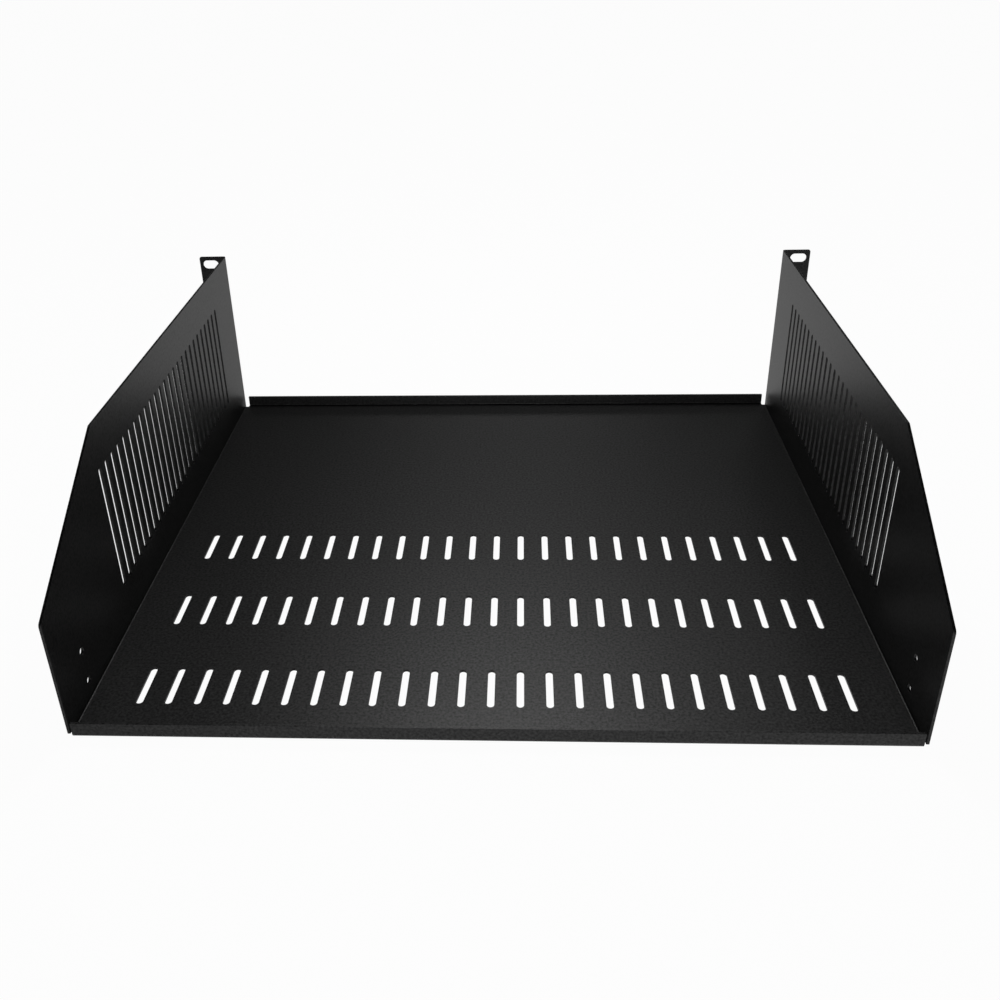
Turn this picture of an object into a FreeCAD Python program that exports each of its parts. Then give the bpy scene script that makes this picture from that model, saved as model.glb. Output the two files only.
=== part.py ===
import FreeCAD
import Part
import math
import os

# Cantilever rack shelf, folded from one blank of sheet steel.
# Millimetres. X runs across the rack, the ears' outer faces look along +Y,
# Z is up, and the origin is under the middle of the shelf.

# The sheet
thickness = 1.5
inside_bend = 1.2            # inside radius of every fold

# The rack panel that the ears stand in for
panel_width = 482.6          # over both ears
rack_unit = 44.45
units_tall = 3
ear_width = 19.8             # from the outside of a wall to the ear's edge
ear_corner = 1.5
ear_slot_length = 12.5
ear_slot_height = 7.0
ear_slot_margin = 8.75       # from the ear's edge to the middle of a slot
ear_slot_inset = 6.35        # from the top or bottom of the panel
ear_foot = 0.8               # the ear stops this far above the underside

# The tray
depth = 400.0                # ears' outer faces to the outside of the nose lip
lip_height = 9.5             # both lips, over the underside
shoulder_run = 100.0         # the wall tops slope down over this length
shoulder_drop = 60.0
shoulder_corner = 3.0

# Corner reliefs, where two folds would meet
ear_relief_width = 3.0       # gap between the rear lip's end and the wall
ear_relief_depth = 4.0
nose_relief_width = 0.8
nose_relief_past = 0.8       # past the start of the nose fold
nose_relief_corner = 0.6

# Vent slots in the floor, in rows across it
floor_slot_length = 30.0
floor_slot_width = 4.0
floor_slot_pitch = 16.0
floor_slot_border = 24.0     # least plain strip beside a wall fold
floor_rows = 3
floor_row_pitch = 70.0
floor_row_inset = 40.0       # from the nose to the first row's middle

# Upright vent slots in the walls
wall_slot_length = 80.0
wall_slot_width = 4.0
wall_slot_pitch = 10.0
wall_slot_inset = 50.0       # from the ears' faces to the first slot's middle

# Two small round holes low in each wall, near the nose
side_hole = 4.5
side_hole_inset = 32.0       # from the nose
side_hole_rise = 11.5        # the lower one, over the underside
side_hole_gap = 20.0

# The vents' round ends are cut as short flats, to keep the facets few
vent_end_flats = 8

# What follows from them
outside_bend = inside_bend + thickness
wall_height = rack_unit * units_tall
half_panel = panel_width / 2
half_body = half_panel - ear_width
half_inside = half_body - thickness
ear_face = depth / 2
nose_face = -depth / 2
shoulder_start = nose_face + shoulder_run
clear = 1.0                  # how far a cutting tool stands out of the sheet

X = FreeCAD.Vector(1, 0, 0)
Y = FreeCAD.Vector(0, 1, 0)
Z = FreeCAD.Vector(0, 0, 1)


def rounded_face(corners, place):
    """A flat face from (a, b, radius) corners; place puts (a, b) in space."""
    points = [place(a, b) for a, b, _ in corners]
    turns = []
    for i, (_, _, radius) in enumerate(corners):
        back = (points[i - 1] - points[i]).normalize()
        ahead = (points[(i + 1) % len(points)] - points[i]).normalize()
        half = back.getAngle(ahead) / 2
        start = points[i] + back * (radius / math.tan(half))
        end = points[i] + ahead * (radius / math.tan(half))
        crown = points[i] + (back + ahead).normalize() * (radius / math.sin(half) - radius)
        turns.append((start, crown, end, radius))
    edges = []
    for i, (start, crown, end, radius) in enumerate(turns):
        if radius:
            edges.append(Part.Arc(start, crown, end).toShape())
        following = turns[(i + 1) % len(turns)][0]
        if end.distanceToPoint(following) > 1e-6:
            edges.append(Part.makeLine(end, following))
    return Part.Face(Part.Wire(edges))


def rounded_slot(centre, along, across, length, width):
    """Outline of a slot whose ends are true arcs."""
    straight = along * (length / 2 - width / 2)
    side, tip = across * (width / 2), along * (length / 2)
    a, b = centre + straight + side, centre + straight - side
    c, d = centre - straight - side, centre - straight + side
    return Part.Wire([
        Part.Arc(a, centre + tip, b).toShape(), Part.makeLine(b, c),
        Part.Arc(c, centre - tip, d).toShape(), Part.makeLine(d, a)])


def flatted_slot(centre, along, across, length, width):
    """Outline of a vent, with each end's half circle cut as short flats."""
    ring = []
    for end in (1, -1):
        middle = centre + along * (end * (length - width) / 2)
        for i in range(vent_end_flats + 1):
            turn = math.pi * i / vent_end_flats
            spoke = across * math.cos(turn) + along * math.sin(turn)
            ring.append(middle + spoke * (end * width / 2))
    return Part.makePolygon(ring + ring[:1])


def punch(outline, through):
    """A tool that is pushed through the sheet from a flat outline."""
    return Part.Face(outline).extrude(through)


def channel():
    """Floor and both walls, with their two long folds."""
    section = rounded_face([
        (-half_body, wall_height, 0), (-half_body, 0, outside_bend),
        (half_body, 0, outside_bend), (half_body, wall_height, 0),
        (half_inside, wall_height, 0), (half_inside, thickness, inside_bend),
        (-half_inside, thickness, inside_bend), (-half_inside, wall_height, 0),
    ], lambda x, z: FreeCAD.Vector(x, nose_face, z))
    return section.extrude(Y * (depth - outside_bend))


def wall_outline():
    """Side view of the walls, with the shoulder that slopes to the nose."""
    side = rounded_face([
        (nose_face, 0, 0), (ear_face, 0, 0), (ear_face, wall_height, 0),
        (shoulder_start, wall_height, shoulder_corner),
        (nose_face, wall_height - shoulder_drop, shoulder_corner),
    ], lambda y, z: FreeCAD.Vector(-half_body - clear, y, z))
    return side.extrude(X * (2 * half_body + 2 * clear))


def lip(face, inward, half_length):
    """A low lip folded up from the floor, with its outside at y = face."""
    section = rounded_face([
        (face + inward * outside_bend, 0, 0), (face, 0, outside_bend),
        (face, lip_height, 0), (face + inward * thickness, lip_height, 0),
        (face + inward * thickness, thickness, inside_bend),
        (face + inward * outside_bend, thickness, 0),
    ], lambda y, z: FreeCAD.Vector(-half_length, y, z))
    return section.extrude(X * (2 * half_length))


def ear(side):
    """An ear folded outwards from the rear edge of a wall."""
    root = ear_face - ear_relief_depth
    section = rounded_face([
        (half_inside, root, 0), (half_inside, ear_face, outside_bend),
        (half_panel, ear_face, 0), (half_panel, ear_face - thickness, 0),
        (half_body, ear_face - thickness, inside_bend), (half_body, root, 0),
    ], lambda x, y: FreeCAD.Vector(side * x, y, ear_foot))
    outline = rounded_face([
        (0, ear_foot, 0), (half_panel, ear_foot, ear_corner),
        (half_panel, wall_height, ear_corner), (0, wall_height, 0),
    ], lambda x, z: FreeCAD.Vector(side * x, root, z))
    plain = section.extrude(Z * (wall_height - ear_foot))
    return plain.common(outline.extrude(Y * ear_relief_depth))


def relief(side, inner, mouth, root, corner):
    """Takes the end of a wall's fold away, and a notch of floor beside it."""
    outline = rounded_face([
        (inner, mouth, 0), (inner, root, corner),
        (half_body + clear, root, 0), (half_body + clear, mouth, 0),
    ], lambda x, y: FreeCAD.Vector(side * x, y, -clear))
    return outline.extrude(Z * (outside_bend + clear))


def nose_edge():
    """The square floor edge that the nose fold takes the place of."""
    corner = FreeCAD.Vector(-half_body, nose_face, 0)
    return Part.makeBox(2 * half_body, outside_bend, outside_bend, corner)


def floor_vents():
    reach = half_body - outside_bend - floor_slot_border - floor_slot_width / 2
    count = int(2 * reach / floor_slot_pitch) + 1
    tools = []
    for row in range(floor_rows):
        y = nose_face + floor_row_inset + row * floor_row_pitch
        for i in range(count):
            x = (i - (count - 1) / 2) * floor_slot_pitch
            outline = flatted_slot(FreeCAD.Vector(x, y, -clear), Y, X,
                                   floor_slot_length, floor_slot_width)
            tools.append(punch(outline, Z * (thickness + 2 * clear)))
    return tools


def wall_vents():
    """Slots through both walls, from behind the ears to the shoulder."""
    count = int((depth - shoulder_run - wall_slot_inset) / wall_slot_pitch) + 1
    across = X * (2 * half_body + 2 * clear)
    tools = []
    for i in range(count):
        y = ear_face - wall_slot_inset - i * wall_slot_pitch
        centre = FreeCAD.Vector(-half_body - clear, y, wall_height / 2)
        outline = flatted_slot(centre, Z, Y, wall_slot_length, wall_slot_width)
        tools.append(punch(outline, across))
    return tools


def side_holes():
    start = FreeCAD.Vector(-half_body - clear, nose_face + side_hole_inset, side_hole_rise)
    return [Part.makeCylinder(side_hole / 2, 2 * half_body + 2 * clear,
                              start + Z * (i * side_hole_gap), X) for i in range(2)]


def ear_slots():
    tools = []
    for side in (-1, 1):
        for z in (ear_slot_inset, wall_height - ear_slot_inset):
            centre = FreeCAD.Vector(side * (half_panel - ear_slot_margin),
                                    ear_face - thickness - clear, z)
            outline = rounded_slot(centre, X, Z, ear_slot_length, ear_slot_height)
            tools.append(punch(outline, Y * (thickness + 2 * clear)))
    return tools


def folded_shelf():
    rear_lip = half_inside - ear_relief_width
    nose_lip = half_inside - nose_relief_width
    corners = []
    for side in (-1, 1):
        corners.append(relief(side, rear_lip, ear_face, ear_face - ear_relief_depth,
                              ear_relief_width / 2))
        corners.append(relief(side, nose_lip, nose_face - clear,
                              nose_face + outside_bend + nose_relief_past,
                              nose_relief_corner))
    tray = channel().common(wall_outline()).cut([nose_edge()] + corners)
    folds = [lip(nose_face, 1, nose_lip), lip(ear_face, -1, rear_lip), ear(-1), ear(1)]
    shelf = tray.fuse(folds).removeSplitter()
    return shelf.cut(floor_vents() + wall_vents() + side_holes() + ear_slots())


def main():
    os.makedirs("parts", exist_ok=True)
    shelf = folded_shelf()
    print("folded_shelf", shelf.ShapeType, "solids", len(shelf.Solids),
          "valid", shelf.isValid(), "volume", round(shelf.Volume, 1))
    shelf.Solids[0].exportStep("parts/folded_shelf.step")


main()
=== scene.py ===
import bpy
import bmesh
import math
import mathutils
from mathutils import Matrix, Vector


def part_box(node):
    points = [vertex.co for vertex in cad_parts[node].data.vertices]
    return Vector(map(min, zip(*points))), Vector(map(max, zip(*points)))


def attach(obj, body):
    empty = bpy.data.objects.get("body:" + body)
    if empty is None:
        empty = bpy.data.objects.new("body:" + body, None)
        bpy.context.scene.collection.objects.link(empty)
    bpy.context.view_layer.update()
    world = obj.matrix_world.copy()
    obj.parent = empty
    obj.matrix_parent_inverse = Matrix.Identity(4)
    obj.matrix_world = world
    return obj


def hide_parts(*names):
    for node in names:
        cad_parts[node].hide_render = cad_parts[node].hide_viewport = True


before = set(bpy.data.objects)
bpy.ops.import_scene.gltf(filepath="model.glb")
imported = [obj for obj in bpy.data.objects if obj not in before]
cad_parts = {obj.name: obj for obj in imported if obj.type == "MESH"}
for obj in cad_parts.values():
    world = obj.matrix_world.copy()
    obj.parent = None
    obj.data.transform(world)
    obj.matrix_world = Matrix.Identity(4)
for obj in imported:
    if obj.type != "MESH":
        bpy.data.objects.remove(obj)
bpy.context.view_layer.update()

low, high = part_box("folded_shelf")
mm = 0.001

# the blank, in millimetres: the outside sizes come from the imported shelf
shelf = {
    "name": "shelfSheet",
    "sheet": 1.5,  # steel thickness
    "bend": 0.9,  # inside radius of every fold
    "softEdge": 0.12,  # how far the coat rounds the cut edges
    "bodyHalf": 221.5,  # middle to a wall's outer face
    "lip": 9.5,  # height of the lips at both ends of the floor
    "frontRise": 73.35,  # height of a wall at the nose
    "frontRun": 100.0,  # length of a wall's sloping shoulder
    "shoulderRound": 3.0,
    "earFoot": 0.8,  # gap below an ear
    "earCorner": 1.5,
    "earSlot": (7.0, 12.5),
    "earSlotIn": 8.75,  # ear's edge to a slot's middle
    "earSlotUp": 6.35,  # foot or top of an ear to a slot's middle
    "rearRelief": (217.0, 196.0),  # inner corner of the gap between rear lip and ear, on the blank
    "noseRelief": (219.2, -196.5),  # inner corner of the gap between nose lip and wall
    "lipSlack": 0.3,  # this far past the nose lip's end still folds down with it
    "noseCorner": 0.6,
    "rearCorner": 1.0,
    "corner": 0.45,  # every other corner of the blank
    "footBlend": 0.5,  # length over which the wall's fold ends at the ear
    "floorSlot": (4.0, 30.0),  # across the floor, from nose to rear
    "floorPitch": 16.0,
    "floorCount": 25,
    "floorRows": (-160.0, -90.0, -20.0),
    "wallSlot": (80.0, 4.0),  # up the wall, along the wall
    "wallPitch": 10.0,
    "wallCount": 26,
    "wallFirst": 150.0,  # the slot nearest the ear
    "sideHole": 4.5,  # across
    "sideHoleAt": -168.0,
    "sideHoleUp": (11.5, 31.5),  # heights on a wall
    "foldSteps": 12,  # facets round each fold
    "endSteps": 12,  # facets round each slot end
    "cornerStep": 11.0,  # degrees that one facet turns at a corner of the blank
    "edgeSteps": 2,  # facets round each soft edge
}

panelHalf = high.x / mm
depthHalf = high.y / mm
tall = high.z / mm
outer = shelf["bend"] + shelf["sheet"]  # outside radius of every fold
foldLength = math.pi / 2 * (shelf["bend"] + shelf["sheet"] / 2)
endless = 999.0  # longer than the blank
touch = 0.001  # closer than this counts as the same place
wallStart = shelf["bodyHalf"] - outer  # where the floor starts to turn up into a wall
lipStart = depthHalf - outer  # where floor or wall turns into a lip or an ear


def upWall(z):
    # distance on the blank, from the middle line, of a height on a wall
    return wallStart + foldLength + z - outer


def alongEar(x):
    # distance on the blank of a point this far out on an ear
    return lipStart + foldLength + x - shelf["bodyHalf"] - shelf["bend"]


def roundCorners(corners):
    # an outline from (x, y, radius) corners given anticlockwise: places, each with its way out
    rim = []
    for i, (x, y, r) in enumerate(corners):
        here = Vector((x, y))
        before = (Vector(corners[i - 1][:2]) - here).normalized()
        after = (Vector(corners[(i + 1) % len(corners)][:2]) - here).normalized()
        bend = 1 if before.cross(after) < 0 else -1  # 1 where the outline bulges out
        half = before.angle(after) / 2
        centre = here + (before + after).normalized() * r / math.sin(half)
        first = Vector((before.y, -before.x)) * -1  # square to the straight before the corner
        turn = bend * (math.pi - 2 * half)
        steps = max(3, round(abs(turn) / math.radians(shelf["cornerStep"])))
        for k in range(steps + 1):
            out = Matrix.Rotation(turn * k / steps, 2) @ first
            rim.append((centre + out * r * bend, out))
    return rim


def splitAt(rim, lines):
    # adds a place wherever the flat face's edge crosses a fold line
    soft = shelf["softEdge"]
    split = []
    for i, (place, out) in enumerate(rim):
        split.append((place, out))
        nextPlace, nextOut = rim[(i + 1) % len(rim)]
        here, there = place - out * soft, nextPlace - nextOut * soft
        cuts = []
        for axis, at, limit in lines:
            reach = there[axis] - here[axis]
            if abs(reach) > touch and abs(here[1 - axis]) < limit:
                cuts.append((at - here[axis]) / reach)
        cuts = [k for k in cuts if touch / 2 < k < 1 - touch / 2]
        for k in sorted(cuts):
            facing = out.lerp(nextOut, k).normalized()
            split.append((here.lerp(there, k) + facing * soft, facing))
    return split


def slotRim(x, y, wide, high, steps):
    # a slot: two half rounds and two straight sides
    r = min(wide, high) / 2
    reach = max(wide, high) / 2 - r
    turn = Matrix.Rotation(math.pi / 2 if high > wide else 0, 2)
    rim = []
    for end in (1, -1):
        for k in range(steps + 1):
            a = math.pi * (0.5 - k / steps)
            ray = Vector((end * math.cos(a), end * math.sin(a)))
            rim.append((turn @ (Vector((end * reach, 0)) + ray * r) + Vector((x, y)), turn @ -ray))
    return rim


def holeRim(x, y, across, steps):
    rays = [Vector((math.cos(a), -math.sin(a))) for a in (2 * math.pi * k / steps for k in range(steps))]
    return [(Vector((x, y)) + ray * across / 2, -ray) for ray in rays]


def blankRim():
    tip = lipStart + foldLength + shelf["lip"] - outer
    ear = alongEar(panelHalf)
    wallFoot = wallStart + foldLength
    rearX, rearY = shelf["rearRelief"]
    noseX, noseY = shelf["noseRelief"]
    small = shelf["corner"]
    half = [
        (noseX, -tip, small),
        (noseX, noseY, shelf["noseCorner"]),
        (wallFoot, noseY, small),
        (wallFoot, -depthHalf, small),
        (upWall(shelf["frontRise"]), -depthHalf, shelf["shoulderRound"]),
        (upWall(tall), shelf["frontRun"] - depthHalf, shelf["shoulderRound"]),
        (upWall(tall), ear, shelf["earCorner"]),
        (upWall(shelf["earFoot"]), ear, shelf["earCorner"]),
        (upWall(shelf["earFoot"]), rearY, small),
        (rearX, rearY, shelf["rearCorner"]),
        (rearX, tip, small),
    ]
    return roundCorners(half + [(-x, y, r) for x, y, r in reversed(half)])


def cutOuts():
    steps = shelf["endSteps"]
    rims = []
    for y in shelf["floorRows"]:
        for i in range(shelf["floorCount"]):
            x = (i - (shelf["floorCount"] - 1) / 2) * shelf["floorPitch"]
            rims.append(slotRim(x, y, *shelf["floorSlot"], steps))
    for side in (1, -1):
        for i in range(shelf["wallCount"]):
            y = shelf["wallFirst"] - i * shelf["wallPitch"]
            rims.append(slotRim(side * upWall(tall / 2), y, *shelf["wallSlot"], steps))
        for z in shelf["sideHoleUp"]:
            rims.append(holeRim(side * upWall(z), shelf["sideHoleAt"], shelf["sideHole"], 2 * steps))
        for z in (shelf["earSlotUp"], tall - shelf["earSlotUp"]):
            y = alongEar(panelHalf - shelf["earSlotIn"])
            rims.append(slotRim(side * upWall(z), y, *shelf["earSlot"], 2 * steps))
    return rims


def foldLines():
    # each line as (0 along the walls or 1 across the floor, where it lies, how far it runs)
    steps = shelf["foldSteps"]
    reaches = [foldLength * k / steps for k in range(steps + 1)]
    lines = [(0, side * (wallStart + reach), endless) for side in (1, -1) for reach in reaches]
    lines += [(1, lipStart + reach, endless) for reach in reaches]
    lines += [(1, -lipStart - reach, wallStart + 1) for reach in reaches]
    return lines + [(1, shelf["rearRelief"][1] + shelf["footBlend"], endless)]


def foldedPlace(u, v, w):
    # where a point of the blank ends up once it is folded, and the three directions there
    side = 1 if u >= 0 else -1
    u = abs(u)
    nose = v < 0
    onWall = u - wallStart
    onLip = abs(v) - lipStart
    relief = shelf["rearRelief"][1]
    lipEnd = shelf["noseRelief"][0] + shelf["lipSlack"]
    if onWall <= 0 or (nose and onLip > 0 and u < lipEnd):
        p, du, dv, dw = Vector((u, v, w)), Vector((1, 0, 0)), Vector((0, 1, 0)), Vector((0, 0, 1))
        if onLip > 0:
            turn = min(onLip / foldLength, 1) * math.pi / 2
            past = max(onLip - foldLength, 0)
            s, c = math.sin(turn), math.cos(turn)
            y = lipStart + (outer - w) * s
            z = outer - (outer - w) * c + past
            p = Vector((u, -y if nose else y, z))
            dv = Vector((0, c, -s if nose else s))
            dw = Vector((0, s if nose else -s, c))
    else:
        turn = min(onWall / foldLength, 1) * math.pi / 2
        past = max(onWall - foldLength, 0)
        s, c = math.sin(turn), math.cos(turn)
        p = Vector((wallStart + (outer - w) * s, v, outer - (outer - w) * c + past))
        du, dv, dw = Vector((c, 0, s)), Vector((0, 1, 0)), Vector((-s, 0, c))
        if v > relief and turn < math.pi / 2:  # the ear's foot stands straight down
            k = min((v - relief) / shelf["footBlend"], 1)
            straight = Vector((shelf["bodyHalf"] - w, v, outer + onWall - foldLength))
            p = p.lerp(straight, k)
            du = du.lerp(Vector((0, 0, 1)), k).normalized()
            dw = dw.lerp(Vector((-1, 0, 0)), k).normalized()
        if onLip > 0 and not nose:  # the ear turns outwards
            turn = min(onLip / foldLength, 1) * math.pi / 2
            past = max(onLip - foldLength, 0)
            s, c = math.sin(turn), math.cos(turn)
            r = shelf["bend"] + w
            p = Vector((shelf["bodyHalf"] + shelf["bend"] - r * c + past, lipStart + r * s, p.z))
            dv = Vector((s, c, 0))
            dw = Vector((-c, s, 0))
    if side < 0:
        p.x, du.x, dv.x, dw.x = -p.x, -du.x, -dv.x, -dw.x
        du = -du
    return p * mm, du, dv, dw


def insideBlank(place, edge):
    # counts how often a line to the right of the place crosses the outline
    crossings = 0
    for p, q in zip(edge, edge[1:] + edge[:1]):
        if (p.y > place.y) != (q.y > place.y):
            crossings += place.x < p.x + (q.x - p.x) * (place.y - p.y) / (q.y - p.y)
    return crossings % 2 == 1


def flatFace(rims, lines):
    # triangles of one flat side of the blank, with an edge along every fold line
    soft = shelf["softEdge"]
    places, edges, owner = [], [], []
    for number, rim in enumerate(rims):
        start = len(places)
        places += [place - out * soft for place, out in rim]
        edges += [(start + k, start + (k + 1) % len(rim)) for k in range(len(rim))]
        owner += [number] * len(rim)
    edge = places[: len(rims[0])]
    for axis, at, limit in lines:
        on = [k for k, p in enumerate(places) if abs(p[axis] - at) < touch and abs(p[1 - axis]) < limit]
        on.sort(key=lambda k: places[k][1 - axis])
        edges += zip(on, on[1:])
    made = mathutils.geometry.delaunay_2d_cdt(places, edges, [], 0, touch / 5)
    points, triangles = made[0], made[2]
    first = [known[0] if known else None for known in made[3]]
    kept = []
    for triangle in triangles:
        owners = {owner[first[k]] if first[k] is not None else -1 for k in triangle}
        middle = sum((points[k] for k in triangle), Vector((0, 0))) / 3
        if owners - {-1} and len(owners) == 1 and 0 not in owners:
            continue  # lies wholly in one slot
        if insideBlank(middle, edge):
            kept.append(triangle)
    return points, first, kept


def foldShelf():
    lines = foldLines()
    rims = [splitAt(rim, lines) for rim in [blankRim()] + cutOuts()]
    points, first, triangles = flatFace(rims, lines)
    soft, thick = shelf["softEdge"], shelf["sheet"]
    tilts = [math.pi / 2 * k / shelf["edgeSteps"] for k in range(shelf["edgeSteps"] + 1)]
    section = [(soft * (1 - math.sin(a)), thick - soft * (1 - math.cos(a)), a) for a in tilts]
    section += [(inset, thick - w, math.pi - a) for inset, w, a in reversed(section)]
    bm = bmesh.new()
    normals = []

    def addPoint(u, v, w, facing):
        place, du, dv, dw = foldedPlace(u, v, w)
        normals.append((du * facing.x + dv * facing.y + dw * facing.z).normalized())
        return bm.verts.new(place)

    rows = []  # the rounded edge of every outline, from the top face round to the underside
    for inset, w, tilt in section:
        row = []
        for rim in rims:
            for place, out in rim:
                spot = place - out * inset
                facing = Vector((*out * math.sin(tilt), math.cos(tilt)))
                row.append(addPoint(spot.x, spot.y, w, facing))
        rows.append(row)
    start = 0
    for rim in rims:
        for k in range(len(rim)):
            here, there = start + k, start + (k + 1) % len(rim)
            for above, below in zip(rows, rows[1:]):
                bm.faces.new((above[here], below[here], below[there], above[there]))
        start += len(rim)
    for row, w, up in ((rows[0], thick, 1), (rows[-1], 0, -1)):
        facing = Vector((0, 0, up))
        used = {k for triangle in triangles for k in triangle}
        corner = {}
        for k in sorted(used):
            known = first[k]
            corner[k] = row[known] if known is not None else addPoint(*points[k], w, facing)
        for triangle in triangles:
            bm.faces.new([corner[k] for k in triangle])
    bmesh.ops.recalc_face_normals(bm, faces=bm.faces)
    mesh = bpy.data.meshes.new(shelf["name"])
    bm.to_mesh(mesh)
    bm.free()
    mesh.shade_smooth()
    mesh.normals_split_custom_set_from_vertices(normals)
    piece = bpy.data.objects.new(shelf["name"], mesh)
    bpy.context.scene.collection.objects.link(piece)
    return piece


sheet = foldShelf()
print("folded sheet:", len(sheet.data.vertices), "points,", len(sheet.data.polygons), "faces")

# finish of the shelf
powderCoat = {
    "name": "blackPowderCoat",
    "colour": (0.0004, 0.0004, 0.00045),  # coat in the hollows of its grain
    "crest": (0.0016, 0.0016, 0.0017),  # coat on the tips of its grain
    "tips": (0.42, 0.70),  # part of the grain's height over which the colour changes
    "roughness": (0.42, 0.48),  # in the hollows and on the tips
    "shine": (0.27, 0.73),  # reflection level in the hollows and on the tips
    "spread": (0.3, 0.7),  # part of the grain's height over which those two change
    "ior": 1.36,
    "grain": 660.0,  # grains to a metre
    "grainDepth": 0.00006,
    "peel": 260.0,  # slower waves that the coat leaves as it flows
    "peelDepth": 0.00005,
    "relief": 0.5,  # how strongly both stand out
}


def node(tree, kind, **sockets):
    made = tree.nodes.new(kind)
    for name, value in sockets.items():
        made.inputs[name.replace("_", " ")].default_value = value
    return made


def mapRange(tree, start, end):
    # turns values between the two of start into values between the two of end
    made = node(tree, "ShaderNodeMapRange")
    for socket, value in zip(("From Min", "From Max", "To Min", "To Max"), (*start, *end)):
        made.inputs[socket].default_value = value
    return made


def makePowderCoat():
    material = bpy.data.materials.new(powderCoat["name"])
    material.use_nodes = True
    tree = material.node_tree
    tree.nodes.clear()
    link = tree.links.new
    out = node(tree, "ShaderNodeOutputMaterial")
    coat = node(tree, "ShaderNodeBsdfPrincipled", IOR=powderCoat["ior"])
    place = node(tree, "ShaderNodeTexCoord")
    grain = node(tree, "ShaderNodeTexNoise", Scale=powderCoat["grain"], Detail=2.0, Roughness=0.6)
    peel = node(tree, "ShaderNodeTexNoise", Scale=powderCoat["peel"], Detail=1.0)
    for texture in (grain, peel):
        link(place.outputs["Object"], texture.inputs["Vector"])

    tint = node(tree, "ShaderNodeValToRGB")
    stops = zip(tint.color_ramp.elements, powderCoat["tips"], (powderCoat["colour"], powderCoat["crest"]))
    for stop, height, colour in stops:
        stop.position = height
        stop.color = (*colour, 1)
    link(grain.outputs["Fac"], tint.inputs["Fac"])
    link(tint.outputs["Color"], coat.inputs["Base Color"])

    for socket, ends in (("Roughness", "roughness"), ("Specular IOR Level", "shine")):
        spread = mapRange(tree, powderCoat["spread"], powderCoat[ends])
        link(grain.outputs["Fac"], spread.inputs["Value"])
        link(spread.outputs["Result"], coat.inputs[socket])

    waves = node(tree, "ShaderNodeBump", Strength=powderCoat["relief"], Distance=powderCoat["peelDepth"])
    bumps = node(tree, "ShaderNodeBump", Strength=powderCoat["relief"], Distance=powderCoat["grainDepth"])
    link(peel.outputs["Fac"], waves.inputs["Height"])
    link(grain.outputs["Fac"], bumps.inputs["Height"])
    link(waves.outputs["Normal"], bumps.inputs["Normal"])
    link(bumps.outputs["Normal"], coat.inputs["Normal"])
    link(coat.outputs["BSDF"], out.inputs["Surface"])
    return material


sheet.data.materials.append(makePowderCoat())
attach(sheet, "root")
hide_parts("folded_shelf")
print("powder coat on")

# the room: a white table top that fades into a pale backdrop
room = {
    "reach": 30.0,  # half the table's side
    "gap": 0.0002,  # table top below the shelf
    "table": (0.82, 0.82, 0.82),
    "glow": 0.97,  # share of the table's look that stays white in the shadow
    "mirrored": (0.55, 1.0),  # painted shade: how white a reflection shows the table, left and right of the shelf, darker to the left, standing in for light falling off across the table
    "fade": (-0.25, 0.25),  # from where to where that changes
    "paper": (0.97, 0.97, 0.97),  # the backdrop, seen straight or low in a reflection
    "ceiling": (0.02, 0.02, 0.02),  # high in a reflection
    "drop": ((0.0, 1.0), (0.03, 0.70), (0.09, 0.10), (0.25, 0.02), (0.45, 0.0)),  # height, share of paper
}


def seenRays(tree, mirrored):
    # 1 for rays that show the room straight or through glass, and the given share in a reflection
    path = node(tree, "ShaderNodeLightPath")
    glossy = node(tree, "ShaderNodeMath")
    glossy.operation = "MULTIPLY"
    tree.links.new(path.outputs["Is Glossy Ray"], glossy.inputs[0])
    tree.links.new(mirrored, glossy.inputs[1])
    total = path.outputs["Is Camera Ray"]
    for seen in (path.outputs["Is Transmission Ray"], glossy.outputs[0]):
        add = node(tree, "ShaderNodeMath")
        add.operation = "MAXIMUM"
        tree.links.new(total, add.inputs[0])
        tree.links.new(seen, add.inputs[1])
        total = add.outputs[0]
    return total


def makeTable():
    bm = bmesh.new()
    reach = room["reach"]
    corners = [(-reach, -reach), (reach, -reach), (reach, reach), (-reach, reach)]
    bm.faces.new([bm.verts.new((x, y, low.z - room["gap"])) for x, y in corners])
    mesh = bpy.data.meshes.new("whiteTable")
    bm.to_mesh(mesh)
    bm.free()
    table = bpy.data.objects.new("whiteTable", mesh)
    bpy.context.scene.collection.objects.link(table)
    material = bpy.data.materials.new("whiteTableTop")
    material.use_nodes = True
    tree = material.node_tree
    tree.nodes.clear()
    link = tree.links.new
    place = node(tree, "ShaderNodeTexCoord")
    parts = node(tree, "ShaderNodeSeparateXYZ")
    # painted shade: in reflections the table shows darker to the left than to the right
    fade = mapRange(tree, room["fade"], room["mirrored"])
    link(place.outputs["Object"], parts.inputs[0])
    link(parts.outputs["X"], fade.inputs["Value"])
    matt = node(tree, "ShaderNodeBsdfDiffuse", Color=(*room["table"], 1))
    white = node(tree, "ShaderNodeEmission", Color=(1, 1, 1, 1), Strength=1.0)
    share = node(tree, "ShaderNodeMath")
    share.operation = "MULTIPLY"
    share.inputs[1].default_value = room["glow"]
    mix = node(tree, "ShaderNodeMixShader")
    out = node(tree, "ShaderNodeOutputMaterial")
    link(seenRays(tree, fade.outputs["Result"]), share.inputs[0])
    link(share.outputs[0], mix.inputs["Fac"])
    link(matt.outputs[0], mix.inputs[1])
    link(white.outputs[0], mix.inputs[2])
    link(mix.outputs[0], out.inputs["Surface"])
    mesh.materials.append(material)


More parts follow.
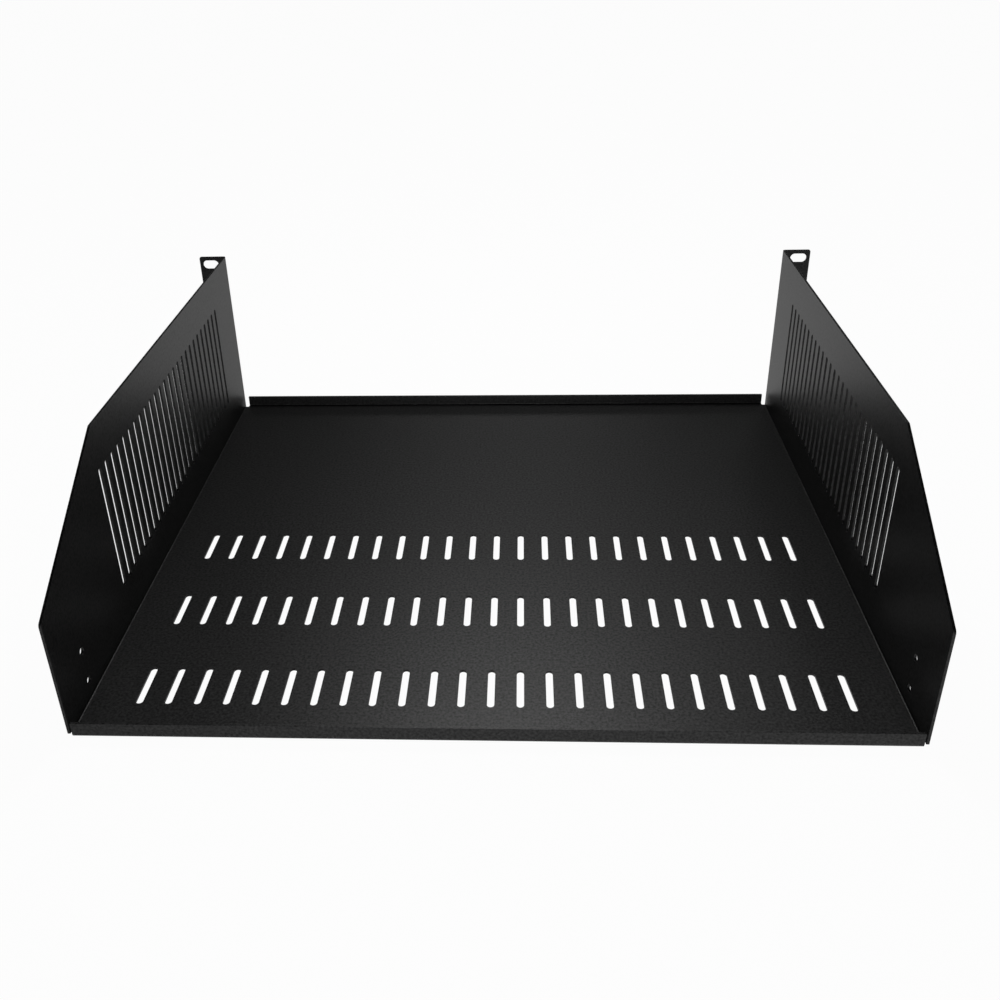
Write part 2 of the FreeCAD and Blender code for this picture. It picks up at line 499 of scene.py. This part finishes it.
def makeBackdrop():
    world = bpy.data.worlds.new("paleBackdrop")
    bpy.context.scene.world = world
    world.use_nodes = True
    tree = world.node_tree
    tree.nodes.clear()
    link = tree.links.new
    place = node(tree, "ShaderNodeTexCoord")
    parts = node(tree, "ShaderNodeSeparateXYZ")
    fade = node(tree, "ShaderNodeValToRGB")
    ramp = fade.color_ramp
    ramp.interpolation = "EASE"
    while len(ramp.elements) < len(room["drop"]):
        ramp.elements.new(1.0)
    for stop, (height, share) in zip(ramp.elements, room["drop"]):
        stop.position = height
        stop.color = (share, share, share, 1)
    ceiling = node(tree, "ShaderNodeBackground", Color=(*room["ceiling"], 1), Strength=1.0)
    paper = node(tree, "ShaderNodeBackground", Color=(*room["paper"], 1), Strength=1.0)
    mix = node(tree, "ShaderNodeMixShader")
    out = node(tree, "ShaderNodeOutputWorld")
    link(place.outputs["Generated"], parts.inputs[0])
    link(parts.outputs["Z"], fade.inputs["Fac"])
    link(seenRays(tree, fade.outputs["Color"]), mix.inputs["Fac"])
    link(ceiling.outputs[0], mix.inputs[1])
    link(paper.outputs[0], mix.inputs[2])
    link(mix.outputs[0], out.inputs["Surface"])


makeTable()
makeBackdrop()
print("table and backdrop set")

lamps = {
    # name: place, size in metres, watts
    "backSoftbox": ((0.0, 1.0, 1.7), (0.8, 0.3), 4.0),
    "farSoftbox": ((0.0, 3.0, 1.1), (0.8, 0.4), 1.7),
    "rightSoftbox": ((0.7, 1.4, 1.5), (0.4, 0.4), 1.0),
    "traySoftbox": ((0.0, 0.33, 0.7), (0.2, 0.2), 2.4),
    "lowStrip": ((-0.03, -0.7, 0.03), (0.3, 0.04), 2.5),
}


def hangLamp(name, place, size, watts):
    light = bpy.data.lights.new(name, "AREA")
    light.shape = "RECTANGLE"
    light.size, light.size_y = size
    light.energy = watts
    lamp = bpy.data.objects.new(name, light)
    lamp.location = place
    aim = (low + high) / 2 - Vector(place)
    lamp.rotation_euler = aim.to_track_quat("-Z", "Y").to_euler()
    lamp.visible_camera = False
    bpy.context.scene.collection.objects.link(lamp)


for name, (place, size, watts) in lamps.items():
    hangLamp(name, place, size, watts)

stand = {
    "place": (0.01769, -0.60312, 0.38750),
    "turn": (61.652, 1.533, 2.621),  # degrees
    "lens": 37.66,
    "shift": (0.0324, -0.0469),
}


def setCamera():
    data = bpy.data.cameras.new("studioCamera")
    data.lens = stand["lens"]
    data.sensor_width = 36.0
    data.shift_x, data.shift_y = stand["shift"]
    data.clip_start = 0.01
    data.clip_end = 200.0
    camera = bpy.data.objects.new("studioCamera", data)
    camera.location = stand["place"]
    camera.rotation_euler = [math.radians(a) for a in stand["turn"]]
    bpy.context.scene.collection.objects.link(camera)
    bpy.context.scene.camera = camera


setCamera()
bpy.context.scene.view_settings.view_transform = "Standard"
print("lamps and camera set")
